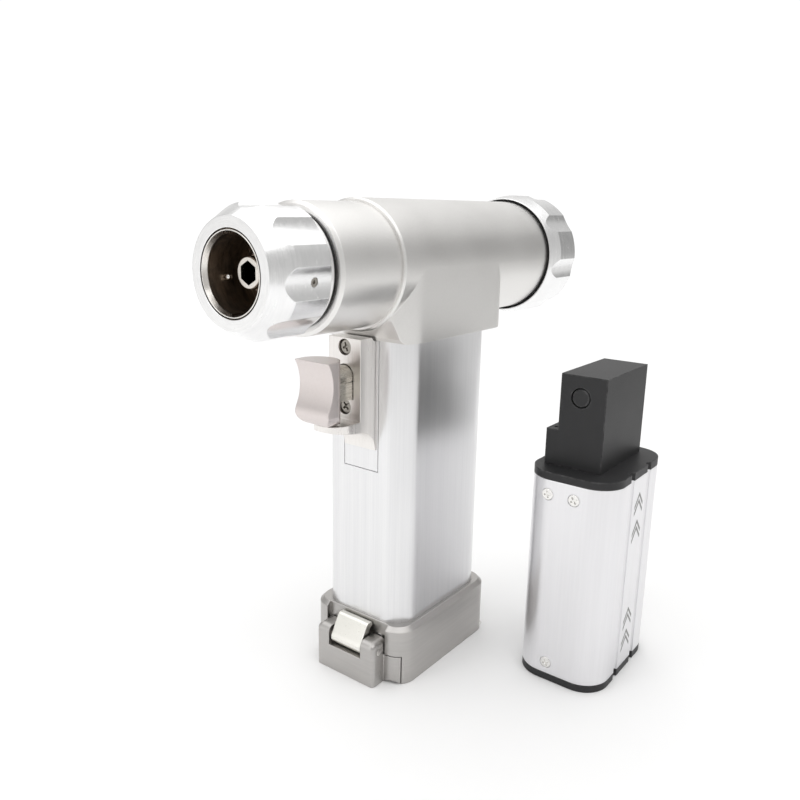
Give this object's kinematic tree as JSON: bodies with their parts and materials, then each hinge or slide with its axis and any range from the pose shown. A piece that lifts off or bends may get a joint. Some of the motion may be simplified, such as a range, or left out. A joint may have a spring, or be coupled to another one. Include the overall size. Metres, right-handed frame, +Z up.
{
  "type": "surgical power drill",
  "caption": "Pistol-grip battery surgical drill with a quick-release coupling, finger trigger, rear selector ring, latched grip door and a separate slide-in battery pack standing beside it.",
  "frame": {"origin": "centre of the underside of the grip's base, on the surface it stands on", "axes": "+X forward along the barrel, towards the coupling mouth; +Y to the drill's left, where the pack stands; +Z up along the grip; the barrel axis is parallel to X at z = 0.159 m"},
  "size_m": [0.178, 0.11, 0.185],
  "materials": {
    "satin_aluminium": "satin pearl blasted",
    "machined_aluminium": "fine turned, bright",
    "brushed_aluminium": "fine vertical brushing",
    "base_metal": "warm grey satin",
    "brushed_nickel": "brushed nickel",
    "warm_nickel": "satin warm nickel",
    "brushed_steel": "scratched bare steel",
    "polished_steel": "polished",
    "socket_steel": "dark oxide bore, bright lip",
    "gear_steel": "ground",
    "spring_steel": "drawn wire",
    "dark_screw": "dark recessed cross head",
    "bronze": "bearing bronze",
    "copper": "enamelled copper",
    "magnet": "nickel plated",
    "black_rubber": "matt",
    "black_plastic": "fine matt texture",
    "circuit_board": "solder mask",
    "cell_wrap": "shrink wrap",
    "pack_aluminium": "bright satin anodised"
  },
  "bodies": {
    "root": {"barrel_housing": "satin_aluminium", "front_sleeve": "satin_aluminium", "front_gap_seal": "black_rubber", "coupling_socket": "socket_steel", "locating_pin": "polished_steel", "ring_return_spring": "spring_steel", "ring_gear": "gear_steel", "gearbox_plate": "gear_steel", "bearing_outer_races": "polished_steel", "motor_can": "gear_steel", "motor_end_bell": "satin_aluminium", "motor_bushes": "bronze", "stator": "gear_steel", "stator_windings": "copper", "rear_spigot": "machined_aluminium", "rear_gap_seal": "black_rubber", "selector_circlip": "spring_steel", "control_board": "circuit_board", "handle_tube": "brushed_aluminium", "trigger_panel": "brushed_aluminium", "trigger_bracket": "brushed_nickel", "bracket_screws": "dark_screw", "trigger_spring": "spring_steel", "trigger_board": "circuit_board", "base_collar": "base_metal", "door_hinge_pin": "polished_steel", "recess_pins": "base_metal", "contact_socket": "black_plastic", "contact_blades": "bronze"},
    "coupling_ring": {"coupling_ring": "machined_aluminium", "ring_set_screw": "dark_screw"},
    "output": {"output_shaft": "polished_steel", "drive_collar": "socket_steel", "planet_carrier": "gear_steel", "planet_pins": "polished_steel", "bearing_inner_races": "polished_steel"},
    "planet_1": {"planet_gear_1": "gear_steel"},
    "planet_2": {"planet_gear_2": "gear_steel"},
    "planet_3": {"planet_gear_3": "gear_steel"},
    "rotor": {"rotor_shaft": "gear_steel", "rotor_magnet": "magnet"},
    "selector": {"selector_ring": "machined_aluminium", "rear_cap": "satin_aluminium"},
    "trigger": {"trigger_cap": "warm_nickel", "trigger_stem": "brushed_steel", "trigger_magnet": "magnet"},
    "door": {"door": "base_metal", "latch_pin": "polished_steel", "door_seal": "black_rubber"},
    "latch": {"latch_lever": "base_metal"},
    "pack": {"pack_shell": "pack_aluminium", "pack_bottom_plate": "black_plastic", "pack_top_plate": "black_plastic", "pack_contact_block": "black_plastic", "pack_terminals": "bronze", "pack_cells": "cell_wrap", "pack_screws": "polished_steel"},
    "pack_button": {"pack_button": "black_plastic"}
  },
  "joints": [
    {"name": "coupling_ring_turn", "type": "hinge", "parent": "root", "child": "coupling_ring", "pos_m": [0.076, 0, 0.159], "axis": [1, 0, 0], "range_deg": [0, 25], "stiffness_Nm_per_rad": 0.25},
    {"name": "output_spin", "type": "hinge", "parent": "root", "child": "output", "pos_m": [0.05, 0, 0.159], "axis": [1, 0, 0], "continuous": true},
    {"name": "rotor_spin", "type": "hinge", "parent": "root", "child": "rotor", "pos_m": [-0.026, 0, 0.159], "axis": [1, 0, 0], "continuous": true},
    {"name": "selector_turn", "type": "hinge", "parent": "root", "child": "selector", "pos_m": [-0.0785, 0, 0.159], "axis": [1, 0, 0], "range_deg": [-30, 30]},
    {"name": "trigger_pull", "type": "slide", "parent": "root", "child": "trigger", "axis": [-1, 0, 0], "range_m": [0, 0.005], "stiffness_N_per_m": 600, "springref_m": -0.002, "deforming": ["trigger_spring"]},
    {"name": "door_swing", "type": "hinge", "parent": "root", "child": "door", "pos_m": [-0.0263, 0, 0.002], "axis": [0, 1, 0], "range_deg": [0, 90]},
    {"name": "latch_turn", "type": "hinge", "parent": "door", "child": "latch", "pos_m": [0.0346, 0, 0.0136], "axis": [0, 1, 0], "range_deg": [0, 75]},
    {"name": "pack_lift", "type": "slide", "parent": "root", "child": "pack", "axis": [0, 0, 1], "range_m": [0, 0.12]},
    {"name": "pack_button_press", "type": "slide", "parent": "pack", "child": "pack_button", "axis": [-1, 0, 0], "range_m": [0, 0.001], "stiffness_N_per_m": 500, "springref_m": -0.001},
    {"name": "planet_spin_1", "type": "hinge", "parent": "output", "child": "planet_1", "pos_m": [0.0193, 0.009, 0.159], "axis": [1, 0, 0], "continuous": true},
    {"name": "planet_spin_2", "type": "hinge", "parent": "output", "child": "planet_2", "pos_m": [0.0193, -0.0045, 0.16679], "axis": [1, 0, 0], "continuous": true},
    {"name": "planet_spin_3", "type": "hinge", "parent": "output", "child": "planet_3", "pos_m": [0.0193, -0.0045, 0.15121], "axis": [1, 0, 0], "continuous": true}
  ],
  "couplings": [
    {"joint": "rotor_spin", "follows": "output_spin", "ratio": 4},
    {"joint": "planet_spin_1", "follows": "output_spin", "ratio": -3},
    {"joint": "planet_spin_2", "follows": "output_spin", "ratio": -3},
    {"joint": "planet_spin_3", "follows": "output_spin", "ratio": -3}
  ]
}
